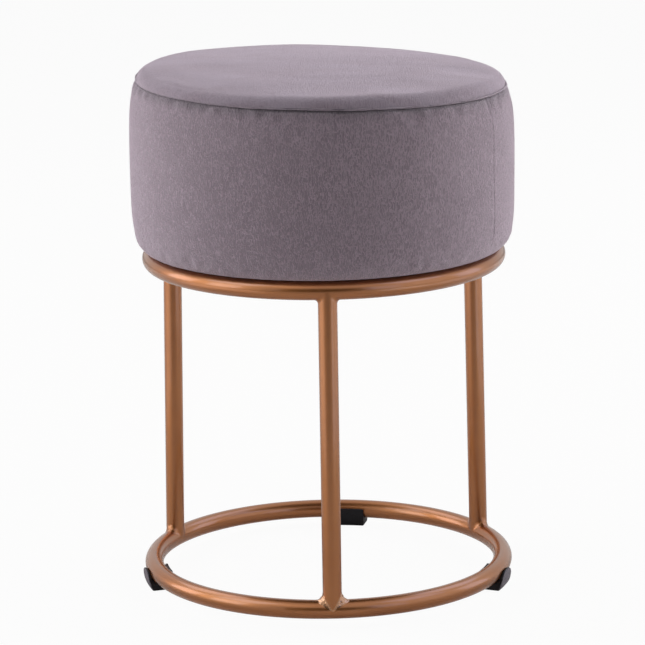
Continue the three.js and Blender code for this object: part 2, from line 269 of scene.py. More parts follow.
velvetLook = {
    # the near black below is the colour of the painted shade in the seam
    "brushed": "#96838f", "seamShadeTone": "#140b11", "sheen": "#f3e5f1", "sheenWeight": 1.0, "sheenRoughness": 0.8,
    "roughness": 0.95, "specular": 0.15,
    "streakMm": (1.25, 4.5), "streakShare": 0.08,  # real tufts are under 0.5 mm: drawn as coarse as they need to show
    "swayMm": 7, "sway": 2.8, "brushRange": (0.35, 0.65), "brushSwirl": 0.6,
    "seamMm": 2.9, "seamEdge": (0.5, 1.25), "frayMm": 5, "fray": 0.9,
    "shadeMm": 12, "patchMm": 40, "sideShadeLeastAt": 0.2, "drawnRange": (0.4, 0.8),  # the last two in radii of the seat
}
sideLook = {
    **velvetLook, "deep": "#685561", "pale": "#bda5b4", "brushedShare": 0.2, "brushDepth": 0.3,
    # shade and drawn: how dark the painted shade below the seam is, and how much darker it is at the sides
    "brushMm": (38, 38), "streakDepth": 0.4, "shade": 0.85, "drawn": 2.2,
}
topLook = {
    **velvetLook, "deep": "#74626f", "pale": "#9a8793", "brushed": "#968a98", "brushedShare": 0.75, "brushDepth": 0.25,
    "brushMm": (75, 26), "streakDepth": 0.18, "shade": 0.1, "drawn": 1.0, "sheenWeight": 0.9,
}


def velvet(name, look, seamMark):  # cut pile: dark seen straight on, pale where the pile is seen from the side
    material, tree = newMaterial(name)
    place = addNode(tree, "UVMap", {"uv_map": "metres"}).outputs["UV"]
    sway = addNode(tree, "TexNoise", {"Scale": 1 / (look["swayMm"] * mm), "Detail": 1.0}, {"Vector": place})
    drift = addNode(tree, "VectorMath", {"operation": "SCALE", "Scale": look["sway"] * mm}, {0: sway.outputs["Color"]})
    bent = addNode(tree, "VectorMath", {"operation": "ADD"}, {0: place, 1: drift.outputs[0]}).outputs[0]
    across, along = look["streakMm"]
    stretched = addNode(tree, "Mapping", {  # half a cell up, where the noise has no rows of its own grid
        "Location": (0, 0, 0.5), "Scale": (1 / (across * mm), 1 / (along * mm), 1),
    }, {"Vector": bent})
    level = addNode(tree, "TexNoise", {"Scale": 1.0, "Detail": 2.0}, {"Vector": stretched.outputs["Vector"]})
    middle = addNode(tree, "Math", {"operation": "SUBTRACT", 1: 0.5}, {0: level.outputs["Fac"]})
    away = addNode(tree, "Math", {"operation": "ABSOLUTE"}, {0: middle.outputs[0]})
    streak = addNode(tree, "MapRange", {  # thin pale ridges on a darker ground
        "From Min": 0.0, "From Max": look["streakShare"], "To Min": 1.0, "To Max": 0.0,
    }, {"Value": away.outputs[0]}).outputs["Result"]
    wide, deep = look["brushMm"]
    smeared = addNode(tree, "Mapping", {"Scale": (1 / (wide * mm), 1 / (deep * mm), 1)}, {"Vector": place})
    brush = addNode(tree, "TexNoise", {"Scale": 1.0, "Detail": 3.0, "Distortion": look["brushSwirl"]}, {
        "Vector": smeared.outputs["Vector"],
    }).outputs["Fac"]
    tone = addNode(tree, "Mix", {
        "data_type": "RGBA", 6: hexColour(look["deep"]), 7: hexColour(look["pale"]),
    }, {0: streak}).outputs[2]
    least, most = look["brushRange"]
    brushShare = addNode(tree, "MapRange", {
        "From Min": least, "From Max": most, "To Min": 0.0, "To Max": look["brushedShare"],
    }, {"Value": brush}).outputs["Result"]
    tone = addNode(tree, "Mix", {"data_type": "RGBA", 7: hexColour(look["brushed"])}, {
        0: brushShare, 6: tone,
    }).outputs[2]
    # painted shade: the seam and a band below it are darkened towards a near black
    tone = addNode(tree, "Mix", {"data_type": "RGBA", 7: hexColour(look["seamShadeTone"])}, {
        0: paintedSeamShade(tree, place, look, seamMark), 6: tone,
    }).outputs[2]
    soft = addNode(tree, "Bump", {"Distance": look["brushDepth"] * mm, "Strength": 1.0}, {"Height": brush})
    fine = addNode(tree, "Bump", {"Distance": look["streakDepth"] * mm, "Strength": 1.0}, {
        "Height": streak, "Normal": soft.outputs["Normal"],
    })
    shader = addNode(tree, "BsdfPrincipled", {
        "Roughness": look["roughness"], "Specular IOR Level": look["specular"], "Sheen Weight": look["sheenWeight"],
        "Sheen Roughness": look["sheenRoughness"], "Sheen Tint": hexColour(look["sheen"]),
    }, {"Base Color": tone, "Normal": fine.outputs["Normal"]})
    addNode(tree, "OutputMaterial", links={"Surface": shader.outputs[0]})
    return material


def paintedSeamShade(tree, place, look, seamMark):  # painted shade: the seam's groove is darkened towards a near black, and a patchy band below it less so
    if seamMark:  # the top: its pattern starts at the middle, and the seam lies this far out
        reach = addNode(tree, "VectorMath", {"operation": "LENGTH"}, {0: place}).outputs["Value"]
    else:  # the band: its pattern starts at the seam
        reach = addNode(tree, "SeparateXYZ", links={"Vector": place}).outputs["Y"]
    gap = addNode(tree, "Math", {"operation": "SUBTRACT", 1: seamMark}, {0: reach})
    gap = addNode(tree, "Math", {"operation": "ABSOLUTE"}, {0: gap.outputs[0]}).outputs[0]
    uneven = addNode(tree, "TexNoise", {"Scale": 1 / (look["frayMm"] * mm), "Detail": 2.0}, {"Vector": place})
    fray = addNode(tree, "Math", {
        "operation": "MULTIPLY_ADD", 1: -look["fray"] * mm, 2: look["fray"] / 2 * mm,
    }, {0: uneven.outputs["Fac"]})
    frayed = addNode(tree, "Math", {"operation": "ADD"}, {0: gap, 1: fray.outputs[0]}).outputs[0]
    full, clear = look["seamEdge"]
    line = addNode(tree, "MapRange", {
        "interpolation_type": "SMOOTHSTEP", "From Min": full * look["seamMm"] * mm,
        "From Max": clear * look["seamMm"] * mm, "To Min": 1.0, "To Max": 0.0,
    }, {"Value": frayed}).outputs["Result"]
    patch = addNode(tree, "TexNoise", {"Scale": 1 / (look["patchMm"] * mm), "Detail": 2.0}, {"Vector": place})
    near = addNode(tree, "MapRange", {
        "interpolation_type": "SMOOTHSTEP", "From Min": 0.0, "From Max": look["shadeMm"] * mm,
        "To Min": look["shade"], "To Max": 0.0,
    }, {"Value": gap}).outputs["Result"]
    near = addNode(tree, "Math", {"operation": "MULTIPLY"}, {0: near, 1: patch.outputs["Fac"]}).outputs[0]
    onSeat = addNode(tree, "TexCoord").outputs["Object"]
    across = addNode(tree, "SeparateXYZ", links={"Vector": onSeat}).outputs["X"]
    across = addNode(tree, "Math", {"operation": "SUBTRACT", 1: look["sideShadeLeastAt"] * bellyRadius}, {0: across})
    across = addNode(tree, "Math", {"operation": "ABSOLUTE"}, {0: across.outputs[0]}).outputs[0]
    shadeFrom, shadeFull = look["drawnRange"]
    drawn = addNode(tree, "MapRange", {  # the painted shade below the seam is made stronger towards the sides
        "From Min": shadeFrom * bellyRadius, "From Max": shadeFull * bellyRadius, "To Min": 1.0, "To Max": look["drawn"],
    }, {"Value": across}).outputs["Result"]
    near = addNode(tree, "Math", {"operation": "MULTIPLY"}, {0: near, 1: drawn}).outputs[0]
    return addNode(tree, "Math", {"operation": "MAXIMUM"}, {0: line, 1: near}).outputs[0]


fleeceLook = {
    "pressed": "#101011", "fibre": ("#1c1c1e", "#3a3a3d"), "roughness": 0.85, "sheenWeight": 0.2, "sheenRoughness": 0.5,
    "dotMm": 2.2, "dotShift": 0.15, "dotEdge": (0.12, 0.3), "dotDepth": 0.2, "fibreMm": 0.8,
    # real dots are about 1.5 mm apart and fibres under 0.1 mm wide: both are drawn as coarse as they need to show
}


def fleece():  # spun-bonded black sheet: matt, with a pressed dot pattern
    look = fleeceLook
    material, tree = newMaterial("spun_bonded_fleece")
    place = addNode(tree, "TexCoord").outputs["Object"]
    dots = addNode(tree, "TexVoronoi", {"Scale": 1 / (look["dotMm"] * mm), "Randomness": look["dotShift"]}, {
        "Vector": place,
    })
    fibres = addNode(tree, "TexNoise", {
        "Scale": 1 / (look["fibreMm"] * mm), "Detail": 3.0, "Roughness": 0.7,
    }, {"Vector": place})
    inside, outside = look["dotEdge"]
    loft = addNode(tree, "MapRange", {"From Min": inside, "From Max": outside}, {
        "Value": dots.outputs["Distance"],
    }).outputs["Result"]
    dark, light = look["fibre"]
    fibre = addNode(tree, "Mix", {"data_type": "RGBA", 6: hexColour(dark), 7: hexColour(light)}, {
        0: fibres.outputs["Fac"],
    }).outputs[2]
    tone = addNode(tree, "Mix", {"data_type": "RGBA", 6: hexColour(look["pressed"])}, {0: loft, 7: fibre}).outputs[2]
    bump = addNode(tree, "Bump", {"Distance": look["dotDepth"] * mm, "Strength": 1.0}, {"Height": loft})
    shader = addNode(tree, "BsdfPrincipled", {
        "Roughness": look["roughness"], "Sheen Weight": look["sheenWeight"], "Sheen Roughness": look["sheenRoughness"],
    }, {"Base Color": tone, "Normal": bump.outputs["Normal"]})
    addNode(tree, "OutputMaterial", links={"Surface": shader.outputs[0]})
    return material


plyLook = {
    "late": "#b08a5c", "early": "#d8b988", "grainMm": 60, "grainStretch": (1, 14, 40), "grainSwirl": 0.4,
    "grainDepth": 0.1, "roughness": 0.7,
}


def plywood():  # peeled birch veneer, raw: pale with a faint long grain
    look = plyLook
    material, tree = newMaterial("birch_plywood")
    place = addNode(tree, "TexCoord").outputs["Object"]
    stretched = addNode(tree, "Mapping", {"Scale": look["grainStretch"]}, {"Vector": place}).outputs["Vector"]
    grain = addNode(tree, "TexNoise", {
        "Scale": 1 / (look["grainMm"] * mm), "Detail": 5.0, "Roughness": 0.6, "Distortion": look["grainSwirl"],
    }, {"Vector": stretched}).outputs["Fac"]
    tone = addNode(tree, "Mix", {
        "data_type": "RGBA", 6: hexColour(look["late"]), 7: hexColour(look["early"]),
    }, {0: grain}).outputs[2]
    bump = addNode(tree, "Bump", {"Distance": look["grainDepth"] * mm, "Strength": 1.0}, {"Height": grain})
    shader = addNode(tree, "BsdfPrincipled", {"Roughness": look["roughness"]}, {
        "Base Color": tone, "Normal": bump.outputs["Normal"],
    })
    addNode(tree, "OutputMaterial", links={"Surface": shader.outputs[0]})
    return material


foamLook = {
    "pit": "#c9bb86", "wall": "#efe6c2", "cellDepth": 0.4, "roughness": 0.9,
    "cellMm": 1.3,  # real cells are about 0.6 mm: drawn as coarse as they need to show
}


def cellFoam():  # open cell polyurethane: matt and pitted
    look = foamLook
    material, tree = newMaterial("open_cell_foam")
    place = addNode(tree, "TexCoord").outputs["Object"]
    cells = addNode(tree, "TexVoronoi", {"Scale": 1 / (look["cellMm"] * mm)}, {"Vector": place}).outputs["Distance"]
    tone = addNode(tree, "Mix", {
        "data_type": "RGBA", 6: hexColour(look["pit"]), 7: hexColour(look["wall"]),
    }, {0: cells}).outputs[2]
    bump = addNode(tree, "Bump", {"Distance": look["cellDepth"] * mm, "Strength": 1.0}, {"Height": cells})
    shader = addNode(tree, "BsdfPrincipled", {"Roughness": look["roughness"]}, {
        "Base Color": tone, "Normal": bump.outputs["Normal"],
    })
    addNode(tree, "OutputMaterial", links={"Surface": shader.outputs[0]})
    return material


copper = lacqueredCopper("lacquered_copper", copperLook)
beadCopper = lacqueredCopper("lacquered_copper_bead", beadLook)
zinc = zincPlate()
plastic = mouldedPlastic()
sheetCloth = fleece()
ply = plywood()
foam = cellFoam()
print("stool: materials made")


# Camera: the stool seen from a little above, its front leg towards the camera

cameraFit = {  # to the photograph's outlines, in pixels, metres and radians
    "photoPx": 645, "focalPx": 3421, "distance": 2973 * mm, "elevation": 0.25, "turn": 0.0168, "aimHeight": 150 * mm,
    "rightPx": 2.36, "upPx": 84.1, "roll": -0.016, "sensorMm": 36, "clipEnd": 50,
}


def addCamera():
    fit = cameraFit
    turn, rise = fit["turn"], fit["elevation"]
    back = Vector((-math.sin(turn) * math.cos(rise), -math.cos(turn) * math.cos(rise), math.sin(rise)))
    right = Vector((math.cos(turn), -math.sin(turn), 0))
    up = back.cross(right)
    place = Vector((0, 0, fit["aimHeight"])) + back * fit["distance"]
    swing = Matrix.Rotation(math.atan2(fit["rightPx"], fit["focalPx"]), 3, up)
    tilt = Matrix.Rotation(math.atan2(fit["upPx"], fit["focalPx"]), 3, right)
    right, up, back = (swing @ tilt @ axis for axis in (right, up, back))
    roll = Matrix.Rotation(fit["roll"], 3, back)
    right, up = roll @ right, roll @ up
    data = bpy.data.cameras.new("camera")
    data.sensor_width = fit["sensorMm"]
    data.lens = fit["focalPx"] / fit["photoPx"] * data.sensor_width
    data.clip_end = fit["clipEnd"]
    camera = bpy.data.objects.new("camera", data)
    camera.matrix_world = Matrix((
        (right.x, up.x, back.x, place.x),
        (right.y, up.y, back.y, place.y),
        (right.z, up.z, back.z, place.z),
        (0, 0, 0, 1),
    ))
    scene.collection.objects.link(camera)
    scene.camera = camera


# Studio: a pale floor, boxes of light at the sides and behind, and a dark card in front. The satin metal would show the
# boxes that light the cloth too plainly, so it sees boxes and floor patches of its own instead. Places are in metres

studio = {
    "floorHalf": 8.0, "floorDrop": 0.05 * mm, "floorTone": "#d8d6d4", "floorShadow": 0.05, "floorGloss": 0.05,
    "ambient": 0.3, "ambientTone": "#f4f4f6", "worldGloss": 0.45, "aim": (0, 0, 0.25),
    "boxes": {  # place by bearing from the front, distance and height; width, height, brightness
        "left": (-90, 2.4, 0.95, 1.9, 1.9, 2.1),
        "left_high": (-100, 1.9, 2.0, 1.6, 1.4, 1.2),
        "left_back": (-120, 2.4, 0.95, 1.9, 1.9, 1.4),
        "right_front": (45, 2.2, 0.55, 0.8, 1.1, 1.1),
        "right": (90, 2.4, 0.95, 1.9, 1.9, 1.1),
        "right_back": (120, 2.4, 0.95, 1.9, 1.9, 3.1),
    },
    "mirrored": {  # the same, and a tint
        "left_side": (-100, 2.2, 0.75, 0.9, 1.2, 2.4, "#f2f6ff"),
        "left_front": (-65, 2.2, 0.75, 0.9, 1.2, 2.4, "#dcecff"),
        "right_front": (35, 2.2, 0.75, 0.9, 1.2, 0.8, "#94b8ff"),
        "right_side": (65, 2.2, 0.75, 0.9, 1.2, 0.4, "#c4dcff"),
        "right_back": (100, 2.2, 0.75, 0.9, 1.2, 1.5, "#a8c8ff"),
        "high_left_back": (-130, 1.7, 2.1, 1.4, 1.2, 1.6, "#dce8ff"),
        "high_left": (-70, 1.7, 2.1, 1.4, 1.2, 2.2, "#bcd8ff"),
        "high_front_left": (-28, 1.7, 2.0, 0.7, 0.7, 0.5, "#ffdca8"),
        "high_right": (70, 1.7, 2.1, 1.4, 1.2, 1.5, "#8cb4ff"),
        "high_right_back": (130, 1.7, 2.1, 1.4, 1.2, 1.4, "#a4c4ff"),
    },
    "patches": {  # bearing and distance on the floor, width, length, brightness, tint
        "left": (-80, 1.15, 0.5, 1.1, 0.6, "#ffffff"),
        "left_front": (-55, 1.15, 0.5, 1.1, 0.65, "#ffffff"),
        "right_front": (48, 1.25, 0.5, 1.1, 1.2, "#b4d6ff"),
        "right": (80, 1.15, 0.5, 1.1, 0.6, "#b4d6ff"),
    },
    "patchHeight": 10 * mm,
    "card": {"place": (0, -4.2, 1.2), "width": 4.4, "height": 2.8, "tone": "#1c1a19"},
}


def addSoftbox(name, bearing, distance, rise, width, height, brightness, tint="#ffffff", onFloor=False):
    turn = math.radians(bearing)
    place = Vector((math.sin(turn) * distance, -math.cos(turn) * distance, rise))
    data = bpy.data.lights.new(name, "AREA")
    data.shape = "RECTANGLE"
    data.size, data.size_y = width, height
    data.energy = brightness * math.pi * width * height
    data.color = hexColour(tint)[:3]
    lamp = bpy.data.objects.new(name, data)
    lamp.location = place
    if onFloor:  # faces up, with its length along its bearing
        lamp.rotation_euler = (math.pi, 0, turn)
    else:
        lamp.rotation_euler = (Vector(studio["aim"]) - place).to_track_quat("-Z", "Y").to_euler()
    scene.collection.objects.link(lamp)
    return lamp


def seenDirectly(tree, glossShare):  # 1 for the camera's own rays, a share for reflections and through glass
    path = addNode(tree, "LightPath").outputs
    gloss = addNode(tree, "Math", {"operation": "MULTIPLY", 1: glossShare}, {0: path["Is Glossy Ray"]}).outputs[0]
    glass = addNode(tree, "Math", {"operation": "MAXIMUM"}, {0: gloss, 1: path["Is Transmission Ray"]}).outputs[0]
    return addNode(tree, "Math", {"operation": "MAXIMUM"}, {0: glass, 1: path["Is Camera Ray"]}).outputs[0]


def addStudio():
    material, tree = newMaterial("floor_paper")
    diffuse = addNode(tree, "BsdfDiffuse", {"Color": hexColour(studio["floorTone"])})
    white = addNode(tree, "Emission", {"Color": (1, 1, 1, 1), "Strength": 1.0})
    share = addNode(tree, "Math", {"operation": "MULTIPLY", 1: 1 - studio["floorShadow"]}, {
        0: seenDirectly(tree, studio["floorGloss"]),
    }).outputs[0]
    mixed = addNode(tree, "MixShader", links={0: share, 1: diffuse.outputs[0], 2: white.outputs[0]})
    addNode(tree, "OutputMaterial", links={"Surface": mixed.outputs[0]})
    half = studio["floorHalf"]
    corners = [(-half, -half, 0), (half, -half, 0), (half, half, 0), (-half, half, 0)]
    floor = addObject("floor", corners, [(0, 1, 2, 3)], material)
    floor.location.z = -studio["floorDrop"]

    card = studio["card"]
    cardMaterial, tree = newMaterial("card_black")
    shader = addNode(tree, "BsdfDiffuse", {"Color": hexColour(card["tone"])})
    addNode(tree, "OutputMaterial", links={"Surface": shader.outputs[0]})
    x, z = card["width"] / 2, card["height"] / 2
    corners = [(-x, 0, -z), (x, 0, -z), (x, 0, z), (-x, 0, z)]
    flag = addObject("card", corners, [(0, 1, 2, 3)], cardMaterial)
    flag.location = card["place"]
    flag.visible_camera = False

    for name, box in studio["boxes"].items():
        addSoftbox("softbox_" + name, *box).visible_glossy = False
    for name, box in studio["mirrored"].items():
        addSoftbox("mirrored_" + name, *box).visible_diffuse = False
    for name, (bearing, distance, *shape) in studio["patches"].items():
        patch = addSoftbox("patch_" + name, bearing, distance, studio["patchHeight"], *shape, onFloor=True)
        patch.visible_diffuse = False

    world = bpy.data.worlds.new("studio")
    scene.world = world
    world.use_nodes = True
    tree = world.node_tree
    tree.nodes.clear()
    ambient = addNode(tree, "Background", {"Color": hexColour(studio["ambientTone"]), "Strength": studio["ambient"]})
    white = addNode(tree, "Background", {"Color": (1, 1, 1, 1), "Strength": 1.0})
    mixed = addNode(tree, "MixShader", links={
        0: seenDirectly(tree, studio["worldGloss"]), 1: ambient.outputs[0], 2: white.outputs[0],
    })
    addNode(tree, "OutputWorld", links={"Surface": mixed.outputs[0]})


addCamera()
addStudio()
print("stool: camera and studio set")


# Frame of copper tube

tube = {"ringSteps": 360, "around": 48, "legRows": 16, "bite": 0.4 * mm, "sharp": 40}


def addRing(name, node, radius, height):
    steps, sides = tube["ringSteps"], tube["around"]
    points, uv = [], []
    for i in range(steps):
        turn = fullTurn * i / steps
        for j in range(sides):
            side = fullTurn * j / sides
            reach = radius + tubeRadius * math.cos(side)
            points.append((reach * math.cos(turn), reach * math.sin(turn), height + tubeRadius * math.sin(side)))
            uv.append((radius * turn, tubeRadius * side))
    faces = [f[::-1] for f in gridFaces(steps, sides, closedRows=True)]
    dress(addObject(name, points, faces, copper, uv, radius * fullTurn), "copper_frame", node)


legFoot = Vector((baseRadius, 0, baseHeight))
legHead = Vector((seatRadius, 0, seatRingHeight))
legAxis = (legHead - legFoot).normalized()
legLength = (legHead - legFoot).length


def addLeg(name, node):  # its ends are coped to sit on the rings
    sides, rows = tube["around"], tube["legRows"]
    across = Vector((0, 1, 0))
    outward = across.cross(legAxis)
    points, uv = [], []
    for i in range(rows):
        for j in range(sides):
            side = fullTurn * j / sides
            cope = abs(tubeRadius * math.sin(side)) - tube["bite"]
            along = cope + (legLength - 2 * cope) * i / (rows - 1)
            spoke = outward * (tubeRadius * math.cos(side)) + across * (tubeRadius * math.sin(side))
            points.append(legFoot + legAxis * along + spoke)
            uv.append((tubeRadius * side, along))
    faces = gridFaces(rows, sides)
    closeRow(points, faces, 0, sides, legFoot, below=True)
    closeRow(points, faces, rows - 1, sides, legHead, below=False)
    uv += [(0, 0), (0, 0)]
    leg = addObject(name, turnedTo(points, angleOf(node)), faces, copper, uv, tubeRadius * fullTurn)
    dress(sharpened(leg, tube["sharp"]), "copper_frame", node)


weld = {  # front and side are how far the bead reaches there, and a lump is a drop of metal in a crotch
    "around": 144, "across": 12, "flush": 0.9 * mm, "inside": 1.2 * mm, "uneven": 0.25, "unevenCells": 1.3,
    "taper": 1.5, "crotch": (0.45, 0.85), "turnIn": 0.15, "forward": 0.35, "sharp": 60,
    "lowFront": {"front": 0.7 * mm, "side": 6.2 * mm, "swell": 0.5 * mm, "lump": 1.0 * mm, "lumpSize": 2.1 * mm},
    "low": {"front": 2.4 * mm, "side": 5 * mm, "swell": 0.45 * mm, "lump": 0.35 * mm, "lumpSize": 2.6 * mm},
    "high": {"front": 2.4 * mm, "side": 2.6 * mm, "swell": 0.2 * mm, "lump": 0.25 * mm, "lumpSize": 2.6 * mm},
}


def addWeld(name, node, centre, side, kind, material, seed):  # a fillet run round a leg's end, lumpy in the crotches
    steps, across = weld["around"], weld["across"]
    bead = weld[kind]
    ringRadius = centre.x
    lean = (seatRadius - baseRadius) / (seatRingHeight - baseHeight)
    points = []
    for i in range(steps):
        turn = fullTurn * i / steps
        c, s = math.cos(turn), math.sin(turn)
        uneven = 1 + weld["uneven"] * noise.noise(Vector((c * weld["unevenCells"], s * weld["unevenCells"], seed)))
        reach = (bead["front"] + (bead["side"] - bead["front"]) * abs(s) ** weld["taper"]) * uneven
        crotch = float(smoothStep(abs(s), *weld["crotch"]))
        joint = Vector((tubeRadius * c, tubeRadius * s, side * abs(tubeRadius * s)))
        onLeg = joint + Vector((0, 0, side * (reach + weld["flush"])))
        onRing = joint + Vector((0, reach * math.tanh(s / weld["turnIn"]), 0))
        out = Vector((weld["forward"] * c, s, side * abs(s))).normalized()
        for k in range(across + 1):
            t = k / across
            p = onLeg * (1 - t) ** 2 + joint * (2 * t * (1 - t)) + onRing * t ** 2
            lump = noise.noise(p / bead["lumpSize"] + Vector((seed, 0, 0)))
            p = p + out * (4 * t * (1 - t) * crotch * (bead["swell"] + bead["lump"] * lump))
            bend = p.y * t / ringRadius  # the ring's end of the fillet follows the ring round
            reachOut = ringRadius + p.x + lean * p.z * (1 - t)
            points.append(Vector((
                reachOut * math.cos(bend), reachOut * math.sin(bend) + p.y * (1 - t), centre.z + p.z,
            )))
        inner = 1 - weld["inside"] / tubeRadius
        points.append(Vector((ringRadius + joint.x * inner, joint.y * inner, centre.z + joint.z * inner)))
    faces = gridFaces(steps, across + 2, closedRows=True)
    if side < 0:
        faces = [f[::-1] for f in faces]
    fillet = addObject(name, turnedTo(points, angleOf(node)), faces, material)
    dress(sharpened(fillet, weld["sharp"]), "copper_frame", node)


addRing("bottom_ring_tube", "bottom_ring", baseRadius, baseHeight)
addRing("top_ring_tube", "top_ring", seatRadius, seatRingHeight)
for side, lowSeed, highSeed in (("front", 3.7, 7.1), ("right", 14.7, 18.1), ("left", 25.7, 29.1)):
    addLeg(f"leg_tube_{side}", f"leg_{side}")
    kind, material = ("lowFront", beadCopper) if side == "front" else ("low", copper)
    addWeld(f"brazed_joint_bottom_{side}", f"weld_bottom_{side}", legFoot, 1, kind, material, lowSeed)
    addWeld(f"brazed_joint_top_{side}", f"weld_top_{side}", legHead, -1, "high", copper, highSeed)
print("stool: rings, legs and welds made")


# Saddle feet under the bottom ring

saddle = {
    "clearance": 0.3 * mm, "standOff": 0.5 * mm, "wall": 2 * mm, "sole": 13 * mm, "wingRise": 2.2 * mm,
    "outerCorner": 11 * mm, "innerCorner": 2.2 * mm, "soleCorner": 2 * mm, "length": 27 * mm, "edge": 1.4 * mm,
    "boreEdge": 0.3 * mm, "rim": 0.55 * mm, "soleEdge": 0.4 * mm, "stations": 49, "rows": 20, "wallSteps": 200,
    "spread": 0.25, "upright": 0.8, "sharp": 50,  # the wall's curve, by shares of the height up to the tube
}


def roundedEnd(distance, radius):  # how far a corner of this radius has fallen away, at this distance from the end
    if distance >= radius:
        return 0
    return radius - math.sqrt(max(radius ** 2 - (radius - distance) ** 2, 0))


def saddleSection(low, high, inset, boreInset):  # one side of the section, up its outside and down its inside
    bore = tubeRadius + saddle["clearance"]
    outside = bore + saddle["standOff"] + saddle["wall"]
    inside = outside - saddle["wall"]
    footHeight = baseHeight - tubeRadius
    tip = baseHeight + saddle["wingRise"]
    ends = (
        (saddle["sole"] / 2, 0), (inside, footHeight * saddle["spread"]), (outside, footHeight * saddle["upright"]),
        (outside, tip),
    )
    shares = np.linspace(0, 1, saddle["wallSteps"])
    blend = [(1 - shares) ** 3, 3 * shares * (1 - shares) ** 2, 3 * shares ** 2 * (1 - shares), shares ** 3]
    wallX = sum(b * e[0] for b, e in zip(blend, ends))
    wallZ = sum(b * e[1] for b, e in zip(blend, ends))
    rows = saddle["rows"]
    low, high = low + boreInset, high - boreInset
    section = []
    for k in range(rows + 1):
        z = low + (high - low) * (1 - math.cos(math.pi * k / rows)) / 2
        rounding = roundedEnd(high - z, saddle["rim"]) + roundedEnd(z - low, saddle["soleEdge"])
        section.append((float(np.interp(z, wallZ, wallX)) - inset - rounding, z))
    bottom = baseHeight - bore - boreInset
    for k in range(rows + 1):
        z = high + (bottom - high) * (1 - math.cos(math.pi * k / rows)) / 2
        if z > baseHeight:
            x = bore + (inside - bore) * (z - baseHeight) / saddle["wingRise"] + boreInset
        else:
            x = math.sqrt(max((bore + boreInset) ** 2 - (z - baseHeight) ** 2, 0))
        section.append((x + roundedEnd(high - z, saddle["rim"]), z))
    section[-1] = (0, bottom)
    return section


def addFoot(name, node):
    half = saddle["length"] / 2
    tip = baseHeight + saddle["wingRise"]
    points = []
    count = saddle["stations"]
    for i in range(count):
        along = -half * math.cos(math.pi * i / (count - 1))
        distance = half - abs(along)
        low = roundedEnd(distance, saddle["soleCorner"])
        insets = roundedEnd(distance, saddle["edge"]), roundedEnd(distance, saddle["boreEdge"])
        outer = saddleSection(low, tip - roundedEnd(distance, saddle["outerCorner"]), *insets)
        inner = saddleSection(low, tip - roundedEnd(distance, saddle["innerCorner"]), *insets)
        outline = outer + [(-x, z) for x, z in inner[-2::-1]]
        turn = along / baseRadius
        for x, z in outline:
            points.append(((baseRadius + x) * math.cos(turn), (baseRadius + x) * math.sin(turn), z))
    columns = len(outline)
    faces = [f[::-1] for f in gridFaces(count, columns)]
    faces += [tuple(range(columns)), tuple(range(len(points) - 1, len(points) - columns - 1, -1))]
    foot = addObject(name, turnedTo(points, angleOf(node)), faces, plastic)
    dress(sharpened(foot, saddle["sharp"]), "black_plastic", node)


for side in ("back", "left", "right"):
    addFoot(f"saddle_foot_{side}", f"foot_{side}")
print("stool: feet made")


# Lugs, washers and screws that hold the seat

fixing = {"radius": 121 * mm, "steps": 96, "sharp": 30}  # how far out they sit, and how finely they are drawn
lug = {"width": 26 * mm, "reach": 23.5 * mm, "thickness": 3 * mm, "hole": 3.4 * mm, "top": 1.2 * mm, "edge": 0.4 * mm}
washer = {"radius": 8 * mm, "thickness": 1.4 * mm, "edge": 0.25 * mm, "play": 0.3 * mm}
screw = {
    "shank": 2.8 * mm, "pitch": 1 * mm, "threadDepth": 0.35 * mm, "threadLength": 18 * mm, "threadRows": 90,
    "tip": 0.8 * mm, "head": 6 * mm, "headHeight": 3.6 * mm, "headRound": 2.6 * mm, "headSteps": 8,
    "socket": 2 * mm, "socketDepth": 2 * mm, "socketMouth": 0.25 * mm, "socketLead": 0.2 * mm, "sharp": 40,
}


def spun(rows, closedRows=False):  # rows of (radius, height), each a number or a function of the angle
    steps = fixing["steps"]
    points = []
    for radius, height in rows:
        for j in range(steps):
            turn = fullTurn * j / steps
            r = radius(turn) if callable(radius) else radius
            z = height(turn) if callable(height) else height
            points.append((fixing["radius"] + r * math.cos(turn), r * math.sin(turn), z))
    faces = gridFaces(len(rows), steps, closedRows=closedRows)
    if not closedRows:
        closeRow(points, faces, 0, steps, (fixing["radius"], 0, rows[0][1]), below=True)
        closeRow(points, faces, len(rows) - 1, steps, (fixing["radius"], 0, rows[-1][1]), below=False)
    return points, faces


def lugOutline(turn):  # round at its tip, straight sided to the ring
    half = lug["width"] / 2
    if math.cos(turn) <= 0:
        return half
    return min(half / max(abs(math.sin(turn)), 1e-6), lug["reach"] / math.cos(turn))


def socketOutline(turn):  # hexagonal
    return screw["socket"] / math.cos((turn + math.pi / 6) % (math.pi / 3) - math.pi / 6)


def threadRadius(height, top):
    def radius(turn):
        share = (height / screw["pitch"] - turn / fullTurn) % 1
        run = min(1, max(0, (top - height) / screw["pitch"]))
        return screw["shank"] - screw["threadDepth"] * run * (1 - abs(2 * share - 1))
    return radius


def plateRows(inner, outer, bottom, top, edge):
    return [
        (inner, bottom + edge), (inner + edge, bottom),
        (lambda turn: outer(turn) - edge, bottom), (outer, bottom + edge),
        (outer, top - edge), (lambda turn: outer(turn) - edge, top),
        (inner + edge, top), (inner, top - edge),
    ]


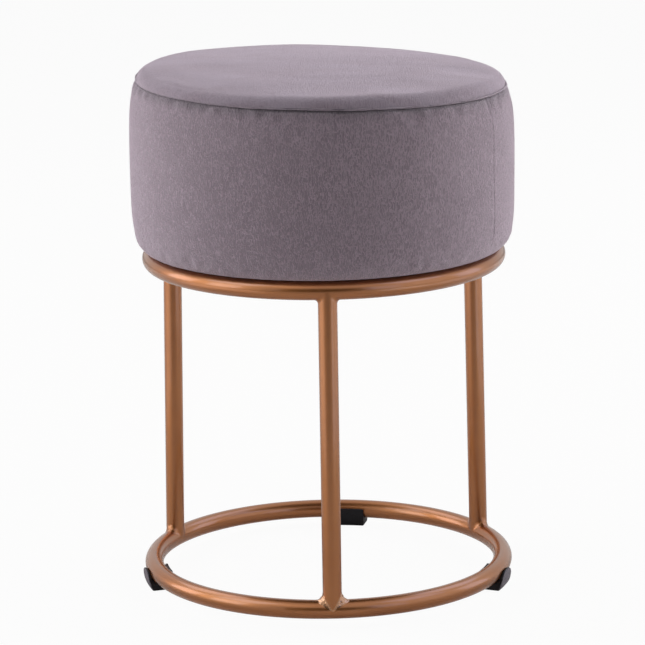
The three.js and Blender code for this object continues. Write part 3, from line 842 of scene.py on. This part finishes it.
def addFixing(side):
    angle = angleOf(f"screw_{side}")
    top = seatBottom - lug["top"]
    bottom = top - lug["thickness"]
    points, faces = spun(plateRows(lug["hole"], lugOutline, bottom, top, lug["edge"]), closedRows=True)
    plate = addObject(f"lug_plate_{side}", turnedTo(points, angle), faces, copper)
    dress(sharpened(plate, fixing["sharp"]), "copper_frame", f"lug_{side}")

    face = bottom - washer["thickness"]
    hole = screw["shank"] + washer["play"]
    rows = plateRows(hole, lambda turn: washer["radius"], face, bottom, washer["edge"])
    points, faces = spun(rows, closedRows=True)
    disc = addObject(f"washer_disc_{side}", turnedTo(points, angle), faces, zinc)
    dress(sharpened(disc, fixing["sharp"]), "zinc_fixings", f"washer_{side}")

    low = face - screw["headHeight"]
    rows = [
        (socketOutline, low + screw["socketDepth"]), (socketOutline, low + screw["socketLead"]),
        (lambda turn: socketOutline(turn) + screw["socketMouth"], low),
    ]
    for k in range(screw["headSteps"] + 1):  # the head's dome
        swing = math.pi / 2 * k / screw["headSteps"]
        reach = screw["head"] - screw["headRound"] * (1 - math.sin(swing))
        rows.append((reach, low + screw["headRound"] * (1 - math.cos(swing))))
    rows += [(screw["head"], face), (screw["shank"], face)]
    end, tip, count = face + screw["threadLength"], screw["tip"], screw["threadRows"]
    for k in range(1, count + 1):
        height = face + (screw["threadLength"] - tip) * k / count
        rows.append((threadRadius(height, end - tip), height))
    rows.append((screw["shank"] - tip, end))
    points, faces = spun(rows)
    bolt = addObject(f"button_screw_{side}", turnedTo(points, angle), faces, zinc)
    dress(sharpened(bolt, screw["sharp"]), "zinc_fixings", f"screw_{side}")


def refinish(node, material):  # a CAD piece that keeps its shape
    piece = nodes[node]
    for slot in piece.material_slots:
        slot.material = material


for side in ("back", "left", "right"):
    addFixing(side)
    refinish(f"t_nut_{side}", zinc)
refinish("seat_board", ply)
print("stool: fixings made")


# Dust cover: a thin sheet stapled up under the board

cover = {
    "radius": 141 * mm, "thickness": 0.6 * mm, "drop": 0.3 * mm, "rows": 40, "columns": 240, "wrinkle": 0.28 * mm,
    "wrinkleSize": 34 * mm, "wrinkleReach": 30 * mm, "wrinkleLevel": 0.3, "wrinkleSeed": (3, 8, 1),
    "hole": 3.8 * mm, "holeSteps": 32, "holeReach": 5 * mm, "sharp": 50,
}
staple = {
    "count": 36, "radius": 133 * mm, "crown": 9 * mm, "wire": 0.42 * mm, "flat": 1.4, "sides": 8, "sink": 0.15 * mm,
    "leg": 2.4 * mm, "bend": 0.8 * mm, "bendMiddle": (0.25 * mm, 0.2 * mm), "skew": 0.35, "wander": 1.5 * mm,
    "skewStep": 1.7, "skewSeed": (0.3, 5),
}


def addDustCover():
    top = seatBottom - cover["drop"]
    points = []
    for level in (top, top - cover["thickness"]):
        for i in range(1, cover["rows"] + 1):
            radius = cover["radius"] * i / cover["rows"]
            for j in range(cover["columns"]):
                turn = fullTurn * j / cover["columns"]
                place = Vector((radius * math.cos(turn), radius * math.sin(turn), 0))
                loose = math.sin(math.pi * min(1, (cover["radius"] - radius) / cover["wrinkleReach"]) / 2)
                wave = noise.noise(place / cover["wrinkleSize"] + Vector(cover["wrinkleSeed"]))
                place.z = level + cover["wrinkle"] * loose * min(0, wave - cover["wrinkleLevel"])
                points.append(place)
    size = cover["rows"] * cover["columns"]
    faces = gridFaces(cover["rows"], cover["columns"])
    faces = [f[::-1] for f in faces] + [tuple(size + v for v in f) for f in faces]
    for first, flip in ((0, False), (size, True)):
        ring = [first + j for j in range(cover["columns"])]
        faces.append(tuple(ring[::-1] if flip else ring))
    edge = (cover["rows"] - 1) * cover["columns"]
    for j in range(cover["columns"]):
        a, b = edge + j, edge + (j + 1) % cover["columns"]
        faces.append((a, size + a, size + b, b))
    sheet = addObject("dust_sheet", points, faces, sheetCloth)
    holes, steps, reach = [], cover["holeSteps"], cover["holeReach"]
    for side in ("back", "left", "right"):
        low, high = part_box(f"screw_{side}")
        x, y = (low.x + high.x) / 2, (low.y + high.y) / 2
        rim = [fullTurn * j / steps for j in range(steps)]
        rows = [
            (x + cover["hole"] * math.cos(turn), y + cover["hole"] * math.sin(turn), z)
            for z in (top - reach, top + reach) for turn in rim
        ]
        caps = [tuple(range(steps - 1, -1, -1)), tuple(range(steps, 2 * steps))]
        holes.append(addObject("hole", rows, gridFaces(2, steps) + caps, sheetCloth))
    for hole in holes:
        cut = sheet.modifiers.new("cut", "BOOLEAN")
        cut.object, cut.operation, cut.solver = hole, "DIFFERENCE", "EXACT"
    applied(sheet)
    for hole in holes:
        bpy.data.objects.remove(hole)
    dress(sharpened(sheet, cover["sharp"]), "dust_fleece", "dust_cover")


def addStaples():
    points, faces = [], []
    sides, half, bend = staple["sides"], staple["crown"] / 2, staple["bend"]
    bendX, bendZ = staple["bendMiddle"]
    path = [(-half, staple["leg"]), (-half, bend), (-half + bendX, bendZ), (-half + bend, 0)]
    path += [(-x, z) for x, z in path[::-1]]
    face = seatBottom - cover["drop"] - cover["thickness"] - staple["wire"] + staple["sink"]
    for k in range(staple["count"]):
        turn = fullTurn * (k + 0.5) / staple["count"]
        skew = staple["skew"] * noise.noise(Vector((k * staple["skewStep"], *staple["skewSeed"])))
        along = Vector((-math.sin(turn + skew), math.cos(turn + skew), 0))
        centre = Vector((math.cos(turn), math.sin(turn), 0)) * (staple["radius"] + staple["wander"] * skew)
        out = Vector((0, 0, 1)).cross(along)
        first = len(points)
        for i, (x, z) in enumerate(path):
            before, after = path[max(i - 1, 0)], path[min(i + 1, len(path) - 1)]
            heading = (along * (after[0] - before[0]) + Vector((0, 0, after[1] - before[1]))).normalized()
            up = heading.cross(out)
            middle = centre + along * x + Vector((0, 0, face + z))
            for j in range(sides):
                spin = fullTurn * j / sides
                points.append(middle + (out * math.cos(spin) * staple["flat"] + up * math.sin(spin)) * staple["wire"])
        faces += gridFaces(len(path), sides, first=first)
        faces.append(tuple(first + sides - 1 - j for j in range(sides)))
        faces.append(tuple(len(points) - sides + j for j in range(sides)))
    dress(addObject("staples", points, faces, zinc), "zinc_fixings")


addDustCover()
addStaples()
print("stool: dust cover made")


# Velvet cushion: a band and a top sewn together round a block of foam. Heights are above its underside

cushion = {  # radii and heights of the covers' outline, what is sewn in, and how the top leans
    "velvet": 1.6 * mm, "footprint": 146 * mm, "hem": 127 * mm, "bellyHeight": 48.5 * mm, "bellyPower": 3,
    "drawPower": 7, "corner": 155 * mm, "cornerHeight": 151 * mm, "cornerReach": 10 * mm, "borderSwell": 0.5 * mm,
    "borderSlope": math.radians(41), "allowance": 9 * mm, "seamGap": 0.8 * mm, "lip": 0.9 * mm,
    "closingSeam": math.radians(-31), "tilt": 0.031, "tiltFrom": 140 * mm, "tiltMost": 1.1, "underReach": 0.985,
}
detail = {  # steps along each part of the covers' outline, and how fine their grid is beside the seam and elsewhere
    "belly": 80, "draw": 120, "border": 40, "crown": 60, "lip": 8, "roll": 14, "turnIn": 4, "hem": 5, "inside": 30,
    "columns": 1132, "coarse": 2.4 * mm, "fine": 0.4 * mm, "fineReach": 13 * mm, "fineRadius": 120 * mm,
    "columnStep": 4,
}
relief = {  # what stuffing and sewing do to the velvet: how deep, how large, and how far from the seam
    "slow": 0.55 * mm, "slowSize": 70 * mm, "gather": 0.55 * mm, "gatherSize": 7 * mm, "gatherReach": 9 * mm,
    "stitch": 0.5 * mm, "stitchPitch": 3.5 * mm, "stitchReach": 1.6 * mm, "stitchLevel": 0.6,
    "tension": 0.75, "tensionChange": 0.5, "tensionCells": 60,
    "wave": 0.55 * mm, "waveReach": 22 * mm, "waveCells": 4, "waveRange": (0.2, 0.9), "waveSeed": 2.5,
    "crease": 0.7 * mm, "creaseWidth": 1.1 * mm, "creaseLip": 0.3 * mm, "creaseLipWidth": 3.5 * mm,
    "creaseFoot": (2 * mm, 20 * mm), "bandFoot": (-1 * mm, 14 * mm), "leastAtFoot": 0.03,
    "bandSeed": 1.5, "topSeed": 8.5, "gatherSeed": 20,
}
slack = {  # of the cloth simulation, which makes the covers bulge unevenly between their seams
    "columns": 160, "spacing": 5.5 * mm, "innerRadius": 60 * mm, "uneven": 0.6 * mm, "unevenSize": 35 * mm,
    "pressure": 4, "shrink": -0.02, "steps": 20, "quality": 6, "mass": 0.3, "stretch": 12, "shear": 4, "bend": 0.5,
    "seed": 4.6, "most": (1.2 * mm, 0.5 * mm), "waves": (80, 9),  # of the band and of the top, which lies flatter
}


def bandLine(margin):  # (radius, height) up the outside of the band, set in by a margin
    belly, seam = bellyRadius - margin, seamRadius - margin
    line = []
    for k in range(detail["belly"] + 1):
        turn = math.pi / 2 * k / detail["belly"]
        swell = math.sin(turn) ** (2 / cushion["bellyPower"])
        rise = 1 - max(math.cos(turn), 0) ** (2 / cushion["bellyPower"])
        line.append((
            cushion["footprint"] + (belly - cushion["footprint"]) * swell,
            margin + (cushion["bellyHeight"] - margin) * rise,
        ))
    top = seamHeight - margin
    for k in range(1, detail["draw"] + 1):
        share = k / detail["draw"]
        height = cushion["bellyHeight"] + (top - cushion["bellyHeight"]) * share
        line.append((belly - (belly - seam) * share ** cushion["drawPower"], height))
    return line


def bezierLine(start, control, end, steps):
    shares = np.linspace(0, 1, steps)[:, None]
    start, control, end = np.asarray(start), np.asarray(control), np.asarray(end)
    return [tuple(p) for p in start * (1 - shares) ** 2 + control * 2 * shares * (1 - shares) + end * shares ** 2]


def topLine(margin, seam, bottom):  # (radius, height) from the seam up a steep border, round its corner to the middle
    corner, cornerHeight = cushion["corner"] - margin, cushion["cornerHeight"] - margin
    rise = crownHeight - margin - cornerHeight
    run = math.hypot(seam - corner, cornerHeight - bottom)
    along = ((corner - seam) / run, (cornerHeight - bottom) / run)
    reach = cushion["cornerReach"]
    before = (corner - along[0] * reach, cornerHeight - along[1] * reach)
    swell = cushion["borderSwell"]
    middle = (
        (seam + before[0]) / 2 + along[1] * 2 * swell, (bottom + before[1]) / 2 - along[0] * 2 * swell,
    )

    def crown(radius):
        return (radius, cornerHeight + rise * (1 - (radius / corner) ** 2))

    line = bezierLine((seam, bottom), middle, before, detail["border"])
    line += bezierLine(before, (corner, cornerHeight), crown(corner - reach), detail["border"])[1:]
    return line + [crown((corner - reach) * (1 - k / detail["crown"])) for k in range(1, detail["crown"] + 1)]


def lengthsAlong(line):
    line = np.asarray(line)
    return np.concatenate([[0], np.cumsum(np.hypot(*np.diff(line, axis=0).T))])


def pickedFrom(line, marks):  # the line's points at these distances along it
    line, lengths = np.asarray(line), lengthsAlong(line)
    return np.stack([np.interp(marks, lengths, line[:, 0]), np.interp(marks, lengths, line[:, 1])], axis=1)


def marksFrom(total, towardsEnd):  # close together at the seam, wider away from it
    marks = [0.0]
    while marks[-1] < total:
        share = float(smoothStep(marks[-1], 0, detail["fineReach"]))
        marks.append(marks[-1] + detail["fine"] + (detail["coarse"] - detail["fine"]) * share)
    marks = np.asarray(marks) * total / marks[-1]
    return total - marks[::-1] if towardsEnd else marks


def evenMarks(line):  # for the simulation's rows
    total = lengthsAlong(line)[-1]
    return np.linspace(0, total, 1 + round(total / slack["spacing"]))


def normalsOf(line):  # outward
    step = np.gradient(np.asarray(line), axis=0)
    step /= np.maximum(np.hypot(step[:, 0], step[:, 1]), 1e-9)[:, None]
    return np.stack([step[:, 1], -step[:, 0]], axis=1)


def turnsOf(columns):  # the angle of each column, from the seam that closes the band
    return cushion["closingSeam"] + fullTurn * np.arange(columns) / columns


def noiseGrid(line, turns, size, seed):  # smooth noise of a real size over the turned surface
    field = np.zeros((len(line), len(turns)))
    around = [(math.cos(t) / size, math.sin(t) / size) for t in turns]
    for i, (radius, height) in enumerate(line):
        z = height / size + seed
        for j, (c, s) in enumerate(around):
            field[i, j] = noise.noise((radius * c, radius * s, z))
    return field


def noiseRound(turns, size, seed):  # the same once round, by a number of cells
    return np.asarray([noise.noise((size * math.cos(t), size * math.sin(t), seed)) for t in turns])


def spinLine(line, turns, shift=None):  # rows of points, pushed out by shift, with the seam's wave and the tilt
    line = np.asarray(line)
    radius = np.repeat(line[:, :1], len(turns), axis=1)
    height = np.repeat(line[:, 1:], len(turns), axis=1)
    if shift is not None:
        normals = normalsOf(line)
        radius = radius + normals[:, :1] * shift
        height = height + normals[:, 1:] * shift
    wave = noiseRound(turns, relief["waveCells"], relief["waveSeed"]) * relief["wave"]
    least, full = relief["waveRange"]
    inwards = smoothStep(radius, least * seamRadius, full * seamRadius)  # the wave dies out before the middle
    height = height + wave * inwards * np.exp(-((height - seamHeight) / relief["waveReach"]) ** 2)
    x, y = radius * np.cos(turns), radius * np.sin(turns)
    height = height - cushion["tilt"] * x * np.clip(height / cushion["tiltFrom"], 0, cushion["tiltMost"])
    return np.stack([x, y, height + seatBottom], axis=2)


def slackCovers(bandRows, topRows, material):  # how far each point of the two covers bulges, less each row's mean
    columns = slack["columns"]
    turns = turnsOf(columns)
    rows = [np.asarray(bandRows), np.asarray(topRows)]
    points, faces, pinned, starts = [], [], [], []
    for line in rows:  # each cover is held at both its ends
        starts.append(len(points))
        uneven = noiseGrid(line, turns, slack["unevenSize"], slack["seed"]) * slack["uneven"]
        grid = spinLine(line, turns, uneven).reshape(-1, 3)
        faces += gridFaces(len(line), columns, first=len(points))
        pinned += [len(points) + j for j in range(columns)]
        pinned += [len(points) + (len(line) - 1) * columns + j for j in range(columns)]
        points += [tuple(p) for p in grid]
    covers = addObject("slack_covers", points, faces, material)
    covers.vertex_groups.new(name="sewn").add(pinned, 1.0, "REPLACE")
    cloth = covers.modifiers.new("cloth", "CLOTH")
    settings = cloth.settings
    settings.quality, settings.mass = slack["quality"], slack["mass"]
    settings.tension_stiffness = settings.compression_stiffness = slack["stretch"]
    settings.shear_stiffness, settings.bending_stiffness = slack["shear"], slack["bend"]
    settings.use_pressure, settings.uniform_pressure_force = True, slack["pressure"]
    settings.shrink_min = slack["shrink"]
    settings.effector_weights.gravity = 0
    settings.vertex_group_mass = "sewn"
    cloth.collision_settings.use_collision = False
    cloth.point_cache.frame_start, cloth.point_cache.frame_end = 1, slack["steps"]
    for step in range(1, slack["steps"] + 1):
        scene.frame_set(step)
    made = covers.evaluated_get(bpy.context.evaluated_depsgraph_get())
    moved = np.zeros(len(points) * 3)
    made.data.vertices.foreach_get("co", moved)
    moved = moved.reshape(-1, 3) - np.asarray(points)
    scene.frame_set(1)
    bpy.data.objects.remove(covers)
    bulges = []
    for line, start, most, waves in zip(rows, starts, slack["most"], slack["waves"]):
        normals = normalsOf(line)
        part = moved[start:start + len(line) * columns].reshape(len(line), columns, 3)
        out = part[..., 0] * np.cos(turns) + part[..., 1] * np.sin(turns)
        bulge = out * normals[:, :1] + part[..., 2] * normals[:, 1:]
        bulge -= bulge.mean(axis=1, keepdims=True)
        print("stool: covers bulge by up to", round(float(np.abs(bulge).max()) / mm, 2), "mm")
        spread = np.fft.rfft(bulge, axis=1)
        spread[:, waves:] = 0  # only the slow swells stay
        bulge = np.fft.irfft(spread, n=columns, axis=1)
        bulges.append(most * np.tanh(bulge / most))
    return bulges


def finer(bulge, marks, fineMarks, columns):  # the simulated rows, read at the finer rows and columns
    waves = np.fft.rfft(bulge, axis=1)
    wide = np.fft.irfft(waves, n=columns, axis=1) * columns / bulge.shape[1]
    return np.stack([np.interp(fineMarks, marks, wide[:, j]) for j in range(columns)], axis=1)


def sewnRelief(line, distance, turns, seed):  # slow unevenness, gathers and stitches, by distance from the seam
    shift = relief["slow"] * noiseGrid(line, turns, relief["slowSize"], seed)
    near = np.exp(-distance / relief["gatherReach"])[:, None]
    shift += relief["gather"] * near * noiseGrid(line, turns, relief["gatherSize"], seed + relief["gatherSeed"])
    phase = math.pi * (turns - turns[0]) * seamRadius / relief["stitchPitch"]
    tension = relief["tension"] + relief["tensionChange"] * noiseRound(turns, relief["tensionCells"], seed)
    pull = np.exp(-(distance / relief["stitchReach"]) ** 2)[:, None]
    return shift + relief["stitch"] * pull * (np.abs(np.sin(phase)) - relief["stitchLevel"]) * tension


def closingCrease(turns, height):  # where the band's two ends are sewn together, above its turned in foot
    across = (turns - turns[0] + math.pi) % fullTurn - math.pi
    gap = across * bellyRadius
    groove = relief["crease"] * np.exp(-(gap / relief["creaseWidth"]) ** 2)
    lips = relief["creaseLip"] * np.exp(-(gap / relief["creaseLipWidth"]) ** 2)
    return (lips - groove) * smoothStep(height, *relief["creaseFoot"])[:, None]


def addBand(bulge, bulgeMarks, material):
    columns = detail["columns"]
    turns = turnsOf(columns)
    lip, velvetDepth = cushion["lip"], cushion["velvet"]
    outside = [p for p in bandLine(0) if p[1] < seamHeight - lip]
    outside += [(
        seamRadius - lip * (1 - math.cos(a)), seamHeight - lip * (1 - math.sin(a)),
    ) for a in np.linspace(0, math.pi / 2, detail["lip"] + 1)]
    total = lengthsAlong(outside)[-1]
    marks = marksFrom(total, towardsEnd=True)
    line = pickedFrom(outside, marks)
    distance = total - marks
    shift = sewnRelief(line, distance, turns, relief["bandSeed"]) + closingCrease(turns, line[:, 1])
    if bulge is not None:
        shift += finer(bulge, bulgeMarks * total / bulgeMarks[-1], marks, columns)
    least = relief["leastAtFoot"]
    shift *= smoothStep(line[:, 1], *relief["bandFoot"])[:, None] * (1 - least) + least
    shift[0] = 0
    innerLine = bandLine(velvetDepth)[::-1]
    inner = pickedFrom(innerLine, np.linspace(0, lengthsAlong(innerLine)[-1], detail["inside"]))
    hem, footprint, allowance = cushion["hem"], cushion["footprint"], seamRadius - cushion["allowance"]
    head = [(hem + (footprint - hem) * k / detail["hem"], 0) for k in range(detail["hem"])]
    count = detail["turnIn"]
    tail = [(seamRadius - lip + (allowance - seamRadius + lip) * k / count, seamHeight) for k in range(1, count + 1)]
    tail += [(allowance, seamHeight - velvetDepth)] + [tuple(p) for p in inner] + [(hem, velvetDepth)]
    rows = [spinLine(head, turns), spinLine(line, turns, shift), spinLine(tail, turns)]
    points = np.concatenate(rows).reshape(-1, 3)
    allMarks = lengthsAlong(head + [tuple(p) for p in line] + tail)
    seamMark = allMarks[len(head) + len(line) - 1]
    around = bellyRadius * (turns - turns[0])
    uv = np.stack(np.broadcast_arrays(around[None, :], (allMarks - seamMark)[:, None]), axis=2).reshape(-1, 2)
    faces = gridFaces(len(allMarks), columns, closedRows=True)
    band = addObject("velvet_band", points, faces, material, uv, bellyRadius * fullTurn)
    dress(band, "velvet", "side_band")


# The foam is softer at the front's left: the top's corner lies lower and wider there, and higher at the right
softCorner = {
    "settle": 3.0 * mm, "rise": 0.6, "from": 0.2, "reach": 45 * mm,
    "front": (0, 0.45), "left": (0.2, 0.55), "right": (-0.15, 0.5),
}


def settled(line, marks, turns):
    mark = float(np.interp(-cushion["corner"], -line[:, 0], marks))
    share = smoothStep(marks, softCorner["from"] * mark, mark)
    share = share * (1 - smoothStep(marks, mark, mark + softCorner["reach"]))
    front = smoothStep(-np.sin(turns), *softCorner["front"])
    left = smoothStep(-np.cos(turns), *softCorner["left"])
    right = smoothStep(np.cos(turns), *softCorner["right"])
    move = softCorner["settle"] * share[:, None] * (front * (left - softCorner["rise"] * right))
    return np.stack([move * np.cos(turns), move * np.sin(turns), -move], axis=2)


def addTop(bulge, bulgeMarks):
    columns, step = detail["columns"], detail["columnStep"]  # the flat middle needs fewer columns
    turns = turnsOf(columns)
    lip, bottom = cushion["lip"], seamHeight + cushion["seamGap"]
    turnedIn = np.linspace(-math.pi / 2, math.pi / 2 - cushion["borderSlope"], detail["roll"])
    outside = [(seamRadius - lip * (1 - math.cos(a)), bottom + lip * (1 + math.sin(a))) for a in turnedIn]
    outside += topLine(0, *outside[-1])[1:]
    lengths = lengthsAlong(outside)
    total = lengths[-1]
    marks = marksFrom(total, towardsEnd=False)
    line = pickedFrom(outside, marks)
    fineRows = int(np.argmax(line[:, 0] < detail["fineRadius"])) + 1
    shift = sewnRelief(line, marks, turns, relief["topSeed"])
    if bulge is not None:
        share = bulgeMarks / bulgeMarks[-1]
        reach = np.interp(-slack["innerRadius"], -np.asarray(outside)[:, 0], lengths)
        shift += finer(bulge, share * reach, marks, columns) * (marks < reach)[:, None]
    grid = spinLine(line, turns, shift) + settled(line, marks, turns)
    underLine = topLine(cushion["velvet"], seamRadius - cushion["velvet"], bottom)
    underside = pickedFrom(underLine, np.linspace(0, total * cushion["underReach"], detail["inside"]))
    under = spinLine(underside[::-1], turns[::step])
    points, faces, uv = [], [], []

    def addRows(rows, marksOfRows, angles):
        first = len(points)
        for row, mark in zip(rows, marksOfRows):
            points.extend(tuple(p) for p in row)
            uv.extend(((total - mark) * math.cos(t), (total - mark) * math.sin(t)) for t in angles)
        return first

    outer = addRows(grid[:fineRows], marks[:fineRows], turns)
    faces += gridFaces(fineRows, columns, first=outer)
    innerRows = grid[fineRows:-1, ::step]
    middle = addRows(innerRows, marks[fineRows:-1], turns[::step])
    small = columns // step
    faces += gridFaces(len(innerRows), small, first=middle)
    lastFine = outer + (fineRows - 1) * columns
    for j in range(small):
        fineEdge = [lastFine + (step * j + k) % columns for k in range(step + 1)]
        faces.append((*fineEdge, middle + (j + 1) % small, middle + j))
    apex = len(points)
    points.append(tuple(grid[-1, 0]))
    uv.append((0, 0))
    ring = middle + (len(innerRows) - 1) * small
    faces += [(ring + j, ring + (j + 1) % small, apex) for j in range(small)]
    below = addRows(under[1:], np.linspace(total, 0, len(under))[1:], turns[::step])
    faces += gridFaces(len(under) - 1, small, first=below)
    nadir = len(points)
    points.append((0, 0, float(under[0, 0, 2])))
    uv.append((0, 0))
    faces += [(nadir, below + (j + 1) % small, below + j) for j in range(small)]
    rim = below + (len(under) - 2) * small
    for j in range(small):
        fineEdge = [outer + (step * j + k) % columns for k in range(step, -1, -1)]
        faces.append((rim + j, rim + (j + 1) % small, *fineEdge))
    top = addObject("velvet_top", points, faces, velvet("cut_velvet_top", topLook, total), uv)
    dress(top, "velvet", "top_panel")


foamBlock = {
    "play": 0.3 * mm, "boardTop": 14.2 * mm, "boardRim": 147.8 * mm, "lap": 5.9 * mm,
    "columns": 160, "boardRows": 6, "sideStep": 6, "topStep": 5,
}


def addFoam():  # the block inside, which laps over the rim of the board
    margin = cushion["velvet"] + foamBlock["play"]
    rim, boardTop, low = foamBlock["boardRim"], foamBlock["boardTop"], foamBlock["lap"]
    columns, rows = foamBlock["columns"], foamBlock["boardRows"]
    side = [p for p in bandLine(margin)[::foamBlock["sideStep"]] if p[1] > low]
    shoulder = seamRadius - cushion["allowance"] - foamBlock["play"]
    line = [(rim * k / rows, boardTop) for k in range(1, rows + 1)] + [(rim, low)] + side
    line += topLine(margin, shoulder, seamHeight - margin)[:-1:foamBlock["topStep"]]
    points = [tuple(p) for p in spinLine(line, turnsOf(columns)).reshape(-1, 3)]
    faces = gridFaces(len(line), columns)
    closeRow(points, faces, 0, columns, (0, 0, seatBottom + boardTop), below=True)
    closeRow(points, faces, len(line) - 1, columns, (0, 0, seatBottom + crownHeight - margin), below=False)
    block = addObject("foam_block", points, faces, foam)
    dress(block, "foam", "foam_core")


def addCushion():
    velvetSide = velvet("cut_velvet_side", sideLook, 0)
    bulges, bandMarks, topMarks = (None, None), None, None
    bandRows = bandLine(0)
    topRows = [p for p in topLine(0, seamRadius, seamHeight + cushion["seamGap"]) if p[0] >= slack["innerRadius"]]
    bandMarks, topMarks = evenMarks(bandRows), evenMarks(topRows)
    bulges = slackCovers(pickedFrom(bandRows, bandMarks), pickedFrom(topRows, topMarks), velvetSide)
    addBand(bulges[0], bandMarks, velvetSide)
    addTop(bulges[1], topMarks)
    addFoam()


addCushion()
print("stool: cushion made")
